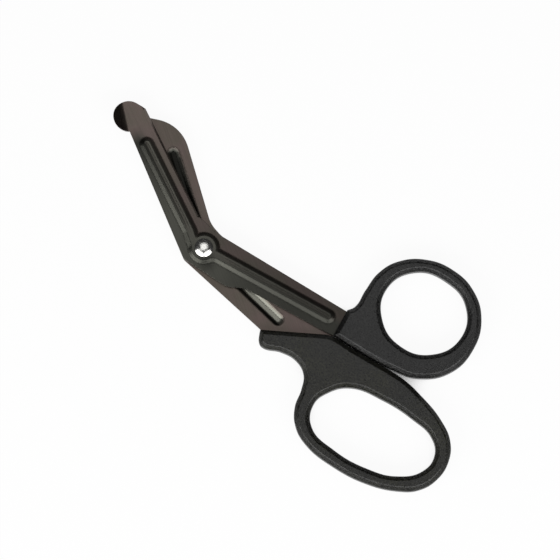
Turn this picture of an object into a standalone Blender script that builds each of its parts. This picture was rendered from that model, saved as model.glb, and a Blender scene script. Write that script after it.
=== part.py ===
"""Trauma shears: two pressed steel blades on one rivet, with moulded plastic loops on their tangs.

The rivet's axis is the Z axis and the flat face of its tail lies on z = 0. The grips run along +X,
the blades point towards -X, and the shears are closed. Metres throughout, angles in degrees.
"""

import math

import bmesh
import bpy
from mathutils import Vector
from mathutils.geometry import delaunay_2d_cdt

# Sheet steel of both blades
SHEET = 0.0016
BLADE_GAP = 0.0003
GRIND_WIDTH = 0.0008
GRIND_LAND = 0.0005
ARC_STEP = 12.0
HOLE_SEGMENTS = 24
WELD = 0.00001
SHARP_ANGLE = 30.0

# Pressed rib and pivot boss, the same tool on both blades
RIB_HEIGHT = 0.0009
RIB_HALF_WIDTH = 0.0029
RIB_FLANK = 0.0014
RIB_SHOULDER = 0.0005
RIB_SHOULDER_DROP = 0.00018
RIB_FLUTE_DEPTH = 0.00012
BOSS_RADIUS = 0.0062
BOSS_FLANK = 0.0014

# Roundings that both blades share
SHOULDER_ROUNDING = 0.0003
TONGUE_ROUNDING = 0.0010

# Rivet
RIVET_SHANK_RADIUS = 0.0020
RIVET_HEAD_RADIUS = 0.00355
RIVET_HEAD_THICK = 0.0014
RIVET_HEAD_RIM = 0.0005
RIVET_HEAD_STEPS = 6
RIVET_TAIL_RADIUS = 0.0034
RIVET_TAIL_THICK = 0.00155
RIVET_TAIL_EDGE = 0.0006
RIVET_TAIL_STEPS = 3
RIVET_DIMPLE_RADIUS = 0.0014
RIVET_DIMPLE_DEPTH = 0.0003
RIVET_DIMPLE_STEPS = 4
RIVET_SEGMENTS = 32
RIVET_PLAY = 0.0003
RIVET_SEAT_GAP = 0.0003

# Front half, whose blade carries the blunt foot and whose tang holds the thumb loop
FRONT_BLADE_ANGLE = 149.5
FRONT_TANG_ANGLE = 5.8
FRONT_EDGE_HEEL = (0.0116, -0.0034)
FRONT_HEEL_ROUNDING = 0.0008
FRONT_EDGE_TIP = (0.0582, -0.0019)
FRONT_TIP_ROUNDING = 0.0005
FRONT_SPINE_AT_FOOT = 0.0073
FRONT_SPINE_ROOT = (-0.0004, 0.0088)
FRONT_SPINE_ROUNDING = 0.0035
FRONT_BELLY = (0.0147, -0.0088)
FRONT_BELLY_ROUNDING = 0.0080
FRONT_BELLY_END = (0.0213, -0.0058)
FRONT_BELLY_END_ROUNDING = 0.0060
FRONT_NOTCH = (0.0021, 0.0074)
FRONT_NOTCH_ROUNDING = 0.0030
FRONT_TANG_HALF_WIDTH = 0.0054
FRONT_TONGUE_HALF_WIDTH = 0.0030
FRONT_TONGUE_END = 0.0760
FRONT_RIB_KNEE = (-0.0031, -0.0004)
FRONT_RIB_BLADE_END = (0.0454, 0.0033)
FRONT_RIB_TANG_END = (0.0542, 0.0003)

# Blunt foot at the tip, a round lobe bent outwards along a slanted line
FOOT_CENTRE = (0.0581, 0.0052)
FOOT_RADIUS = 0.0059
FOOT_BEND_ANGLE = -12.3
FOOT_BEND_LENGTH = 0.0012
FOOT_RISE_ANGLE = 34.0

# Rear half, whose blade has the round nose and whose tang holds the finger loop
REAR_BLADE_ANGLE = 145.0
REAR_TANG_ANGLE = -8.0
REAR_EDGE_HEEL = (0.0125, 0.0040)
REAR_HEEL_ROUNDING = 0.0020
REAR_EDGE_TIP = (0.0559, 0.0048)
REAR_TIP_ROUNDING = 0.0012
REAR_NOSE = (0.0478, -0.0082)
REAR_NOSE_ROUNDING = 0.0150
REAR_SPINE_ROOT = (0.0080, -0.0057)
REAR_SPINE_ROUNDING = 0.0120
REAR_NOTCH = (0.0005, 0.0082)
REAR_NOTCH_ROUNDING = 0.0060
REAR_CORNER = (-0.0035, -0.0084)
REAR_CORNER_ROUNDING = 0.0035
REAR_TANG_LOWER = -0.0080
REAR_TANG_UPPER = 0.0089
REAR_TONGUE_HALF_WIDTH = 0.0040
REAR_TONGUE_END = 0.0660
REAR_RIB_BLADE_END = (0.0384, -0.0015)
REAR_RIB_TANG_END = (0.0393, -0.0006)

# Moulded handles
HANDLE_THICK = 0.0090
HANDLE_EDGE = 0.0016
HANDLE_EDGE_STEPS = 2
CURVE_STEPS = 6
POCKET_GAP = 0.0003
ANCHOR_RADIUS = 0.0016
ANCHOR_INSET = 0.0060
MOUTH_REACH = 0.0020

# Thumb loop: the mouth's distance from the rivet, then the outline and the hole as smooth knots
THUMB_MOUTH = 0.0595
THUMB_MOUTH_LOW = -0.0052
THUMB_MOUTH_HIGH = 0.0059
THUMB_OUTLINE = (
    (0.0602, 0.0145), (0.0599, 0.0220), (0.0602, 0.0305), (0.0639, 0.0384), (0.0727, 0.0453),
    (0.0830, 0.0477), (0.0936, 0.0458), (0.1025, 0.0387), (0.1067, 0.0275), (0.1047, 0.0150),
    (0.0955, 0.0058), (0.0860, 0.0031),
)
THUMB_HOLE = (
    (0.1002, 0.0275), (0.0947, 0.0392), (0.0830, 0.0425), (0.0717, 0.0388),
    (0.0663, 0.0275), (0.0719, 0.0164), (0.0830, 0.0122), (0.0944, 0.0161),
)

# Finger loop: its mouth is cut on a slant across the wide tang
FINGER_MOUTH_LOW = 0.0374
FINGER_MOUTH_HIGH = 0.0585
FINGER_MOUTH_CORNERS = (-0.0082, 0.0079)
FINGER_OUTLINE = (
    (0.0610, 0.0006), (0.0690, 0.0010), (0.0780, 0.0017), (0.0860, 0.0024), (0.0930, 0.0024),
    (0.0991, 0.0015), (0.1121, -0.0021), (0.1196, -0.0067), (0.1235, -0.0134), (0.1238, -0.0216),
    (0.1203, -0.0290), (0.1141, -0.0338), (0.1030, -0.0383), (0.0880, -0.0404), (0.0750, -0.0394),
    (0.0677, -0.0358), (0.0634, -0.0300), (0.0616, -0.0231), (0.0589, -0.0178), (0.0535, -0.0152),
    (0.0471, -0.0158), (0.0400, -0.0184), (0.0383, -0.0178), (0.0362, -0.0147),
)
FINGER_HOLE = (
    (0.1177, -0.0146), (0.1127, -0.0096), (0.1030, -0.0081), (0.0896, -0.0086), (0.0766, -0.0119),
    (0.0707, -0.0182), (0.0688, -0.0250), (0.0731, -0.0325), (0.0851, -0.0349), (0.0999, -0.0334),
    (0.1101, -0.0296), (0.1174, -0.0221),
)

# Finishes
COATING_COLOUR = (0.085, 0.070, 0.066)
COATING_ROUGHNESS = 0.42
COATING_METALLIC = 0.55
PLASTIC_COLOUR = (0.040, 0.040, 0.037)
PLASTIC_ROUGHNESS = 0.62
PLATE_COLOUR = (0.78, 0.78, 0.76)
PLATE_ROUGHNESS = 0.22

# Levels above the flat face of the rivet's tail
REAR_RIB_LEVEL = RIVET_TAIL_THICK + RIVET_SEAT_GAP
REAR_OUTER_LEVEL = REAR_RIB_LEVEL + RIB_HEIGHT
MIDDLE_LEVEL = REAR_OUTER_LEVEL + SHEET + BLADE_GAP / 2
FRONT_OUTER_LEVEL = MIDDLE_LEVEL + BLADE_GAP / 2 + SHEET
HEAD_LEVEL = FRONT_OUTER_LEVEL + RIB_HEIGHT + RIVET_SEAT_GAP


def empty_scene():
    """Remove every object, so that the model starts from nothing."""
    for item in list(bpy.data.objects):
        bpy.data.objects.remove(item, do_unlink=True)


def new_collection(name):
    """Add a collection to the scene and return it."""
    collection = bpy.data.collections.new(name)
    bpy.context.scene.collection.children.link(collection)
    return collection


def new_material(name, colour, roughness, metallic):
    """A Principled material with one colour, given as linear red, green and blue."""
    material = bpy.data.materials.new(name)
    material.use_nodes = True
    shader = material.node_tree.nodes["Principled BSDF"]
    shader.inputs["Base Color"].default_value = (*colour, 1.0)
    shader.inputs["Roughness"].default_value = roughness
    shader.inputs["Metallic"].default_value = metallic
    return material


def coated_steel(name):
    """Sheet steel under a thin, satin black coating."""
    return new_material(name, COATING_COLOUR, COATING_ROUGHNESS, COATING_METALLIC)


def moulded_plastic(name):
    """Matt black plastic with a fine texture."""
    return new_material(name, PLASTIC_COLOUR, PLASTIC_ROUGHNESS, 0.0)


def plated_steel(name):
    """Bright nickel-plated steel."""
    return new_material(name, PLATE_COLOUR, PLATE_ROUGHNESS, 1.0)


def on_arm(angle, along, across):
    """Plan point at a distance along a ray from the rivet, and across it to the left."""
    turn = math.radians(angle)
    ray = Vector((math.cos(turn), math.sin(turn)))
    return ray * along + Vector((-ray.y, ray.x)) * across


def arc_points(centre, radius, start, end):
    """Plan points on an arc from one direction to another, in radians."""
    steps = max(2, math.ceil(abs(end - start) / math.radians(ARC_STEP)))
    turns = [start + (end - start) * i / steps for i in range(steps + 1)]
    return [centre + Vector((math.cos(turn), math.sin(turn))) * radius for turn in turns]


def rounded_corner(before, corner, after, radius):
    """Arc that rounds the corner between two straight edges."""
    back = (before - corner).normalized()
    ahead = (after - corner).normalized()
    half = back.angle(ahead) / 2
    reach = min(radius / math.tan(half), (before - corner).length, (after - corner).length)
    radius = reach * math.tan(half)
    centre = corner + (back + ahead).normalized() * (radius / math.sin(half))
    first = corner + back * reach - centre
    last = corner + ahead * reach - centre
    start = math.atan2(first.y, first.x)
    sweep = math.remainder(math.atan2(last.y, last.x) - start, 2 * math.pi)
    return arc_points(centre, radius, start, start + sweep)


def rounded_outline(corners):
    """Closed plan outline from (point, radius) corners; a radius of 0 keeps the corner sharp."""
    points = []
    for i, (corner, radius) in enumerate(corners):
        if radius > 0:
            before = corners[i - 1][0]
            after = corners[(i + 1) % len(corners)][0]
            points += rounded_corner(before, corner, after, radius)
        else:
            points.append(corner)
    return points


def foot_notch():
    """Where the round foot meets the front blade's spine, along and across the blade."""
    drop = FRONT_SPINE_AT_FOOT - FOOT_CENTRE[1]
    return FOOT_CENTRE[0] - math.sqrt(FOOT_RADIUS ** 2 - drop ** 2), FRONT_SPINE_AT_FOOT


def foot_arc():
    """The foot's round edge, from the end of the cutting edge round to the notch at the spine."""
    centre = on_arm(FRONT_BLADE_ANGLE, *FOOT_CENTRE)
    corner = on_arm(FRONT_BLADE_ANGLE, *FRONT_EDGE_TIP)
    notch = on_arm(FRONT_BLADE_ANGLE, *foot_notch())
    towards = corner - centre
    tangent = math.acos(min(1.0, FOOT_RADIUS / towards.length))
    start = math.atan2(towards.y, towards.x) + tangent
    end = math.atan2(notch.y - centre.y, notch.x - centre.x)
    while end < start:
        end += 2 * math.pi
    return arc_points(centre, FOOT_RADIUS, start, end)


def front_tongue(grow, start):
    """Plan corners of the front tang's narrow tongue from a start to its end, grown all round."""
    side = FRONT_TONGUE_HALF_WIDTH + grow
    end = FRONT_TONGUE_END + grow
    places = ((start, -side), (end, -side), (end, side), (start, side))
    return [on_arm(FRONT_TANG_ANGLE, *place) for place in places]


def front_outline():
    """Plan of the front blade: edge, foot, spine, belly, tang and tongue, turning to the left."""
    shoulder = THUMB_MOUTH - POCKET_GAP
    corners = [
        (on_arm(FRONT_BLADE_ANGLE, *FRONT_EDGE_HEEL), FRONT_HEEL_ROUNDING),
        (on_arm(FRONT_BLADE_ANGLE, *FRONT_EDGE_TIP), FRONT_TIP_ROUNDING),
    ]
    corners += [(point, 0) for point in foot_arc()]
    corners += [
        (on_arm(FRONT_BLADE_ANGLE, *FRONT_SPINE_ROOT), FRONT_SPINE_ROUNDING),
        (on_arm(FRONT_TANG_ANGLE, *FRONT_BELLY), FRONT_BELLY_ROUNDING),
        (on_arm(FRONT_TANG_ANGLE, *FRONT_BELLY_END), FRONT_BELLY_END_ROUNDING),
        (on_arm(FRONT_TANG_ANGLE, shoulder, -FRONT_TANG_HALF_WIDTH), SHOULDER_ROUNDING),
    ]
    tongue = front_tongue(0, shoulder)
    corners += [
        (tongue[0], 0), (tongue[1], TONGUE_ROUNDING),
        (tongue[2], TONGUE_ROUNDING), (tongue[3], 0),
    ]
    corners += [
        (on_arm(FRONT_TANG_ANGLE, shoulder, FRONT_TANG_HALF_WIDTH), SHOULDER_ROUNDING),
        (on_arm(FRONT_TANG_ANGLE, *FRONT_NOTCH), FRONT_NOTCH_ROUNDING),
    ]
    return rounded_outline(corners)


def finger_mouth_at(across, inset=0.0):
    """Distance along the rear tang of the finger loop's slanted mouth, set back by an inset."""
    rise = REAR_TANG_UPPER - REAR_TANG_LOWER
    run = FINGER_MOUTH_HIGH - FINGER_MOUTH_LOW
    slant = math.hypot(rise, run) / rise
    return FINGER_MOUTH_LOW + run * (across - REAR_TANG_LOWER) / rise - inset * slant


def rear_tongue(grow, inset):
    """Plan corners of the rear tang's tongue, from a line set back from the mouth to its end."""
    side = REAR_TONGUE_HALF_WIDTH + grow
    end = REAR_TONGUE_END + grow
    places = (
        (finger_mouth_at(-side, inset), -side), (end, -side),
        (end, side), (finger_mouth_at(side, inset), side),
    )
    return [on_arm(REAR_TANG_ANGLE, *place) for place in places]


def rear_outline():
    """Plan of the rear blade: edge, round nose, notch, tang and tongue."""
    low = finger_mouth_at(REAR_TANG_LOWER, POCKET_GAP)
    high = finger_mouth_at(REAR_TANG_UPPER, POCKET_GAP)
    tongue = rear_tongue(0, POCKET_GAP)
    corners = [
        (on_arm(REAR_BLADE_ANGLE, *REAR_EDGE_HEEL), REAR_HEEL_ROUNDING),
        (on_arm(REAR_TANG_ANGLE, *REAR_CORNER), REAR_CORNER_ROUNDING),
        (on_arm(REAR_TANG_ANGLE, low, REAR_TANG_LOWER), SHOULDER_ROUNDING),
        (tongue[0], 0), (tongue[1], TONGUE_ROUNDING),
        (tongue[2], TONGUE_ROUNDING), (tongue[3], 0),
        (on_arm(REAR_TANG_ANGLE, high, REAR_TANG_UPPER), SHOULDER_ROUNDING),
        (on_arm(REAR_TANG_ANGLE, *REAR_NOTCH), REAR_NOTCH_ROUNDING),
        (on_arm(REAR_BLADE_ANGLE, *REAR_SPINE_ROOT), REAR_SPINE_ROUNDING),
        (on_arm(REAR_BLADE_ANGLE, *REAR_NOSE), REAR_NOSE_ROUNDING),
        (on_arm(REAR_BLADE_ANGLE, *REAR_EDGE_TIP), REAR_TIP_ROUNDING),
    ]
    return rounded_outline(corners)


def distance_to_path(point, path):
    """Distance from a plan point to the nearest stretch of an open path."""
    nearest = math.inf
    for start, end in zip(path, path[1:]):
        run = end - start
        share = min(1.0, max(0.0, (point - start).dot(run) / run.length_squared))
        nearest = min(nearest, (start + run * share - point).length)
    return nearest


def wall_setback(rise, run):
    """How far a crease of the hidden face lies inside the same crease of the outer face."""
    return SHEET * math.tan(math.atan2(rise, run) / 2)


def rib_levels(setback=0.0):
    """The rib's section as (distance from its middle line, height), from the flute to the foot."""
    foot = RIB_HALF_WIDTH - setback
    shoulder = foot - RIB_FLANK
    crest = shoulder - RIB_SHOULDER
    return (
        (0.0, RIB_HEIGHT - RIB_FLUTE_DEPTH), (crest, RIB_HEIGHT),
        (shoulder, RIB_HEIGHT - RIB_SHOULDER_DROP), (foot, 0.0),
    )


def boss_levels(setback=0.0):
    """The round boss as (radius, height), from its flat top to its foot."""
    foot = BOSS_RADIUS - setback
    top = foot - BOSS_FLANK
    return ((0.0, RIB_HEIGHT), (top, RIB_HEIGHT), (foot, 0.0))


def height_on(levels, distance):
    """Height of a section at a distance, in straight steps between its levels."""
    for (near, high), (far, low) in zip(levels, levels[1:]):
        if distance <= far:
            return high + (low - high) * (distance - near) / (far - near)
    return 0.0


def foot_rise(point):
    """Height and slope of the outward bend of the foot at a plan point of the front blade."""
    origin = on_arm(FRONT_BLADE_ANGLE, *foot_notch())
    beyond = (point - origin).dot(on_arm(FRONT_BLADE_ANGLE + FOOT_BEND_ANGLE, 0, 1))
    slope = math.tan(math.radians(FOOT_RISE_ANGLE))
    if beyond <= 0 or (point - origin).dot(on_arm(FRONT_BLADE_ANGLE, 1, 0)) < -FOOT_RADIUS / 2:
        return 0.0, 0.0
    if beyond < FOOT_BEND_LENGTH:
        return slope * beyond ** 2 / (2 * FOOT_BEND_LENGTH), slope * beyond / FOOT_BEND_LENGTH
    return slope * (beyond - FOOT_BEND_LENGTH / 2), slope


def no_rise(point):
    """A blade with nothing bent at its tip."""
    return 0.0, 0.0


def foot_lines():
    """Plan lines across the foot where its bend starts, is half made and ends."""
    lines = []
    for share in (0.0, 0.5, 1.0):
        start = on_arm(FRONT_BLADE_ANGLE, *foot_notch())
        start += on_arm(FRONT_BLADE_ANGLE + FOOT_BEND_ANGLE, 0, share * FOOT_BEND_LENGTH)
        end = start + on_arm(FRONT_BLADE_ANGLE + FOOT_BEND_ANGLE, 2 * FOOT_RADIUS, 0)
        lines.append(([start, end], False))
    return lines


def rib_lines(path, distance, boss_radius):
    """Lines at one distance from each stretch of the rib, from the boss round the rib's end."""
    knee = path[1]
    lines = []
    for end in (path[0], path[2]):
        run = (end - knee).normalized()
        side = Vector((-run.y, run.x))
        if distance == 0:
            lines.append(([leave_boss(knee, run, boss_radius), end], False))
            continue
        turn = math.atan2(run.y, run.x)
        cap = arc_points(end, distance, turn - math.pi / 2, turn + math.pi / 2)
        right = leave_boss(knee - side * distance, run, boss_radius)
        left = leave_boss(knee + side * distance, run, boss_radius)
        lines.append(([right, *cap, left], False))
    return lines


def leave_boss(start, run, radius):
    """Point where a ray from near the rivet crosses the boss's circle."""
    along = start.dot(run)
    return start + run * (math.sqrt(along ** 2 - start.length_squared + radius ** 2) - along)


def circle(radius):
    """Closed ring of plan points round the rivet's axis."""
    return arc_points(Vector((0, 0)), radius, 0, 2 * math.pi)[:-1]


def press_lines(path, rib, boss):
    """Every crease line of one face of a pressed blade."""
    lines = [(circle(radius), True) for radius, _ in boss[1:]]
    for distance, height in rib:
        boss_radius = boss[2][0] if height == 0 else boss[1][0]
        lines += rib_lines(path, distance, boss_radius)
    return lines


def press_height(point, path, rib, boss):
    """Height of one pressed face above its flat margin at a plan point."""
    return max(height_on(rib, distance_to_path(point, path)), height_on(boss, point.length))


def triangulate(lines):
    """Plan triangles inside the first closed line and outside the second, creased along the rest."""
    points = []
    edges = []
    loops = []
    for line, closed in lines:
        numbers = list(range(len(points), len(points) + len(line)))
        points += line
        edges += list(zip(numbers, numbers[1:]))
        if closed:
            edges.append((numbers[-1], numbers[0]))
            loops.append(numbers)
    plan, _, faces, _, _, sources = delaunay_2d_cdt(points, edges, loops[:2], 0, WELD)
    kept = [face for face, source in zip(faces, sources) if 0 in source and 1 not in source]
    return plan, kept


def pressed_sheet(name, outline, path, side, extra_lines=(), rise_at=no_rise):
    """Pressed blank of one thickness: both faces share a plan, and each has its own creases."""
    outer = (rib_levels(), boss_levels())
    hidden = (
        rib_levels(wall_setback(RIB_HEIGHT, RIB_FLANK)),
        boss_levels(wall_setback(RIB_HEIGHT, BOSS_FLANK)),
    )
    lines = [(outline, True), (circle(RIVET_SHANK_RADIUS + RIVET_PLAY), True)]
    lines += press_lines(path, *outer) + press_lines(path, *hidden) + list(extra_lines)
    plan, faces = triangulate(lines)
    shell = bmesh.new()
    over = []
    under = []
    for point in plan:
        rise, slope = rise_at(point)
        top = press_height(point, path, *outer) + rise
        bottom = press_height(point, path, *hidden) + rise - SHEET * math.hypot(1.0, slope)
        over.append(shell.verts.new((point.x, point.y, side * top)))
        under.append(shell.verts.new((point.x, point.y, side * bottom)))
    used = set()
    for face in faces:
        shell.faces.new([over[i] for i in face])
        shell.faces.new([under[i] for i in reversed(face)])
        used.update(zip(face, [*face[1:], face[0]]))
    for a, b in sorted(used):
        if (b, a) not in used:
            shell.faces.new((over[b], over[a], under[a], under[b]))
    loose = [corner for corner in shell.verts if not corner.link_faces]
    bmesh.ops.delete(shell, geom=loose, context='VERTS')
    bmesh.ops.recalc_face_normals(shell, faces=shell.faces)
    mesh = bpy.data.meshes.new(name)
    shell.to_mesh(mesh)
    shell.free()
    return bpy.data.objects.new(name, mesh)


def prism(name, points, height):
    """Upright prism over a plan outline, half its height above and below z = 0."""
    curve = bpy.data.curves.new(name, 'CURVE')
    curve.dimensions = '2D'
    curve.fill_mode = 'BOTH'
    curve.extrude = height / 2
    spline = curve.splines.new('POLY')
    spline.points.add(len(points) - 1)
    for place, point in zip(spline.points, points):
        place.co = (point.x, point.y, 0, 1)
    spline.use_cyclic_u = True
    return curve_to_mesh(bpy.data.objects.new(name, curve))


def curve_to_mesh(source):
    """Turn a filled curve into one welded mesh of the same name and place."""
    bpy.context.scene.collection.objects.link(source)
    bpy.context.view_layer.update()
    evaluated = source.evaluated_get(bpy.context.evaluated_depsgraph_get())
    mesh = bpy.data.meshes.new_from_object(evaluated)
    name = source.name
    shell = bmesh.new()
    shell.from_mesh(mesh)
    bmesh.ops.remove_doubles(shell, verts=shell.verts, dist=WELD)
    bmesh.ops.recalc_face_normals(shell, faces=shell.faces)
    shell.to_mesh(mesh)
    shell.free()
    placement = source.matrix_world.copy()
    bpy.data.objects.remove(source, do_unlink=True)
    item = bpy.data.objects.new(name, mesh)
    item.matrix_world = placement
    return item


def cylinder(name, radius, height, x, y):
    """Upright cylinder centred on z = 0."""
    mesh = bpy.data.meshes.new(name)
    shell = bmesh.new()
    bmesh.ops.create_cone(
        shell, cap_ends=True, segments=HOLE_SEGMENTS, radius1=radius, radius2=radius, depth=height,
    )
    shell.to_mesh(mesh)
    shell.free()
    item = bpy.data.objects.new(name, mesh)
    item.location = (x, y, 0)
    return item


def add_cutter(item, collection):
    """Keep a cutter in its own collection, drawn as wire and never rendered."""
    collection.objects.link(item)
    item.display_type = 'WIRE'
    item.hide_render = True
    return item


def cut(item, cutter, name):
    """Subtract a cutter from a piece."""
    boolean = item.modifiers.new(name, 'BOOLEAN')
    boolean.operation = 'DIFFERENCE'
    boolean.solver = 'EXACT'
    boolean.object = cutter
    return boolean


def edge_grinder(name, start, end, level, side, cutters):
    """Block whose lower face is the ground bevel along a cutting edge, above or below the blade."""
    run = end - start
    block = 4 * SHEET
    mesh = bpy.data.meshes.new(name)
    shell = bmesh.new()
    bmesh.ops.create_cube(shell, size=1.0)
    bmesh.ops.scale(shell, vec=(run.length + 2 * SHEET, 2 * block, block), verts=shell.verts)
    bmesh.ops.translate(shell, vec=(0, 0, side * block / 2), verts=shell.verts)
    shell.to_mesh(mesh)
    shell.free()
    item = bpy.data.objects.new(name, mesh)
    middle = (start + end) / 2
    item.location = (middle.x, middle.y, level)
    tilt = math.atan2(SHEET - GRIND_LAND, GRIND_WIDTH)
    item.rotation_euler = (side * tilt, 0, math.atan2(run.y, run.x))
    return add_cutter(item, cutters)


def make_front_blade(cutters):
    """Front blade, pressed towards the viewer, with its cutting edge ground from outside."""
    path = [
        on_arm(FRONT_BLADE_ANGLE, *FRONT_RIB_BLADE_END), Vector(FRONT_RIB_KNEE),
        on_arm(FRONT_TANG_ANGLE, *FRONT_RIB_TANG_END),
    ]
    item = pressed_sheet("front_blade", front_outline(), path, 1, foot_lines(), foot_rise)
    item.location = (0, 0, FRONT_OUTER_LEVEL)
    heel = on_arm(FRONT_BLADE_ANGLE, *FRONT_EDGE_HEEL)
    tip = on_arm(FRONT_BLADE_ANGLE, *FRONT_EDGE_TIP)
    level = MIDDLE_LEVEL + BLADE_GAP / 2 + GRIND_LAND
    cut(item, edge_grinder("front_grind", heel, tip, level, 1, cutters), "grind")
    anchor = on_arm(FRONT_TANG_ANGLE, FRONT_TONGUE_END - ANCHOR_INSET, 0)
    hole = cylinder("front_anchor_hole", ANCHOR_RADIUS, HANDLE_THICK, *anchor)
    hole.location.z = MIDDLE_LEVEL
    cut(item, add_cutter(hole, cutters), "anchor hole")
    return item


def make_rear_blade(cutters):
    """Rear blade, pressed away from the viewer, with its cutting edge under the front blade."""
    path = [
        on_arm(REAR_BLADE_ANGLE, *REAR_RIB_BLADE_END), Vector((0, 0)),
        on_arm(REAR_TANG_ANGLE, *REAR_RIB_TANG_END),
    ]
    item = pressed_sheet("rear_blade", rear_outline(), path, -1)
    item.location = (0, 0, REAR_OUTER_LEVEL)
    heel = on_arm(REAR_BLADE_ANGLE, *REAR_EDGE_HEEL)
    tip = on_arm(REAR_BLADE_ANGLE, *REAR_EDGE_TIP)
    level = MIDDLE_LEVEL - BLADE_GAP / 2 - GRIND_LAND
    cut(item, edge_grinder("rear_grind", tip, heel, level, -1, cutters), "grind")
    anchor = on_arm(REAR_TANG_ANGLE, REAR_TONGUE_END - ANCHOR_INSET, 0)
    hole = cylinder("rear_anchor_hole", ANCHOR_RADIUS, HANDLE_THICK, *anchor)
    hole.location.z = MIDDLE_LEVEL
    cut(item, add_cutter(hole, cutters), "anchor hole")
    return item


def add_knots(curve, knots):
    """Closed spline through knots of (x, y, smooth); a knot that isn't smooth is a corner."""
    spline = curve.splines.new('BEZIER')
    spline.bezier_points.add(len(knots) - 1)
    spline.use_cyclic_u = True
    for point, (x, y, smooth) in zip(spline.bezier_points, knots):
        point.co = (x, y, 0)
        kind = 'AUTO' if smooth else 'VECTOR'
        point.handle_left_type = kind
        point.handle_right_type = kind


def moulded_loop(name, outline, hole):
    """Flat loop of constant thickness with rounded edges, from its outline and its finger hole."""
    curve = bpy.data.curves.new(name, 'CURVE')
    curve.dimensions = '2D'
    curve.fill_mode = 'BOTH'
    curve.extrude = HANDLE_THICK / 2 - HANDLE_EDGE
    curve.bevel_depth = HANDLE_EDGE
    curve.bevel_resolution = HANDLE_EDGE_STEPS
    curve.offset = -HANDLE_EDGE
    curve.resolution_u = CURVE_STEPS
    add_knots(curve, outline)
    add_knots(curve, [(x, y, True) for x, y in hole])
    item = curve_to_mesh(bpy.data.objects.new(name, curve))
    item.location = (0, 0, MIDDLE_LEVEL)
    return item


def pocket_cutter(name, tongue, anchor, level, cutters):
    """Room for a tang's tongue, with the peg that fills the tongue's anchor hole left standing."""
    pocket = prism(name, tongue, SHEET + 2 * POCKET_GAP)
    pocket.location = (0, 0, level)
    peg = cylinder(name + "_peg", ANCHOR_RADIUS - POCKET_GAP, HANDLE_THICK, *anchor)
    peg.location.z = level
    cut(pocket, add_cutter(peg, cutters), "peg")
    return add_cutter(pocket, cutters)


def make_thumb_handle(cutters):
    """Thumb loop, moulded round the front tang's tongue."""
    low = on_arm(FRONT_TANG_ANGLE, THUMB_MOUTH, THUMB_MOUTH_LOW)
    high = on_arm(FRONT_TANG_ANGLE, THUMB_MOUTH, THUMB_MOUTH_HIGH)
    outline = [(low.x, low.y, False), (high.x, high.y, False)]
    outline += [(x, y, True) for x, y in THUMB_OUTLINE]
    item = moulded_loop("thumb_handle", outline, THUMB_HOLE)
    tongue = front_tongue(POCKET_GAP, THUMB_MOUTH - MOUTH_REACH)
    anchor = on_arm(FRONT_TANG_ANGLE, FRONT_TONGUE_END - ANCHOR_INSET, 0)
    level = FRONT_OUTER_LEVEL - SHEET / 2
    cut(item, pocket_cutter("thumb_pocket", tongue, anchor, level, cutters), "pocket")
    return item


def make_finger_handle(cutters):
    """Finger loop, moulded round the rear tang's tongue, with its mouth on a slant."""
    outline = []
    for side in FINGER_MOUTH_CORNERS:
        corner = on_arm(REAR_TANG_ANGLE, finger_mouth_at(side), side)
        outline.append((corner.x, corner.y, False))
    outline += [(x, y, True) for x, y in FINGER_OUTLINE]
    item = moulded_loop("finger_handle", outline, FINGER_HOLE)
    tongue = rear_tongue(POCKET_GAP, MOUTH_REACH)
    anchor = on_arm(REAR_TANG_ANGLE, REAR_TONGUE_END - ANCHOR_INSET, 0)
    level = REAR_OUTER_LEVEL + SHEET / 2
    cut(item, pocket_cutter("finger_pocket", tongue, anchor, level, cutters), "pocket")
    return item


def quarter_arc(x, z, width, height, start, steps):
    """Profile points on a quarter of an ellipse round (x, z), turning right from a direction."""
    turns = [math.radians(start - 90 * i / steps) for i in range(steps + 1)]
    return [(x + width * math.cos(turn), z + height * math.sin(turn)) for turn in turns]


def dimple_profile(top):
    """Smooth shallow bowl in the middle of the rivet's head, from its bottom to its lip."""
    profile = []
    for i in range(RIVET_DIMPLE_STEPS):
        share = i / RIVET_DIMPLE_STEPS
        drop = RIVET_DIMPLE_DEPTH * (1 + math.cos(math.pi * share)) / 2
        profile.append((RIVET_DIMPLE_RADIUS * share, top - drop))
    return profile


def rivet_profile():
    """The rivet's outer side from the dimple in its domed head down to its flat tail."""
    top = HEAD_LEVEL + RIVET_HEAD_THICK
    rim = HEAD_LEVEL + RIVET_HEAD_RIM
    reach = RIVET_HEAD_RADIUS - RIVET_DIMPLE_RADIUS
    flat = RIVET_TAIL_RADIUS - RIVET_TAIL_EDGE
    profile = dimple_profile(top)
    profile += quarter_arc(RIVET_DIMPLE_RADIUS, rim, reach, top - rim, 90, RIVET_HEAD_STEPS)
    profile += [
        (RIVET_HEAD_RADIUS, HEAD_LEVEL),
        (RIVET_SHANK_RADIUS, HEAD_LEVEL),
        (RIVET_SHANK_RADIUS, RIVET_TAIL_THICK),
        (RIVET_TAIL_RADIUS, RIVET_TAIL_THICK),
    ]
    profile += quarter_arc(flat, RIVET_TAIL_EDGE, RIVET_TAIL_EDGE, RIVET_TAIL_EDGE, 0, RIVET_TAIL_STEPS)
    profile.append((0.0, 0.0))
    return profile


def make_rivet():
    """Turned rivet that joins both blades: domed head in front, flat tail behind."""
    profile = rivet_profile()
    mesh = bpy.data.meshes.new("pivot_rivet")
    edges = [(i, i + 1) for i in range(len(profile) - 1)]
    mesh.from_pydata([(x, 0, z) for x, z in profile], edges, [])
    item = bpy.data.objects.new("pivot_rivet", mesh)
    turn = item.modifiers.new("turned", 'SCREW')
    turn.axis = 'Z'
    turn.steps = RIVET_SEGMENTS
    turn.render_steps = RIVET_SEGMENTS
    turn.use_merge_vertices = True
    turn.merge_threshold = WELD
    return item


def shade_round(item):
    """Shade a piece smooth, keeping its crisp edges."""
    item.data.shade_smooth()
    item.data.set_sharp_from_angle(angle=math.radians(SHARP_ANGLE))


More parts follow.
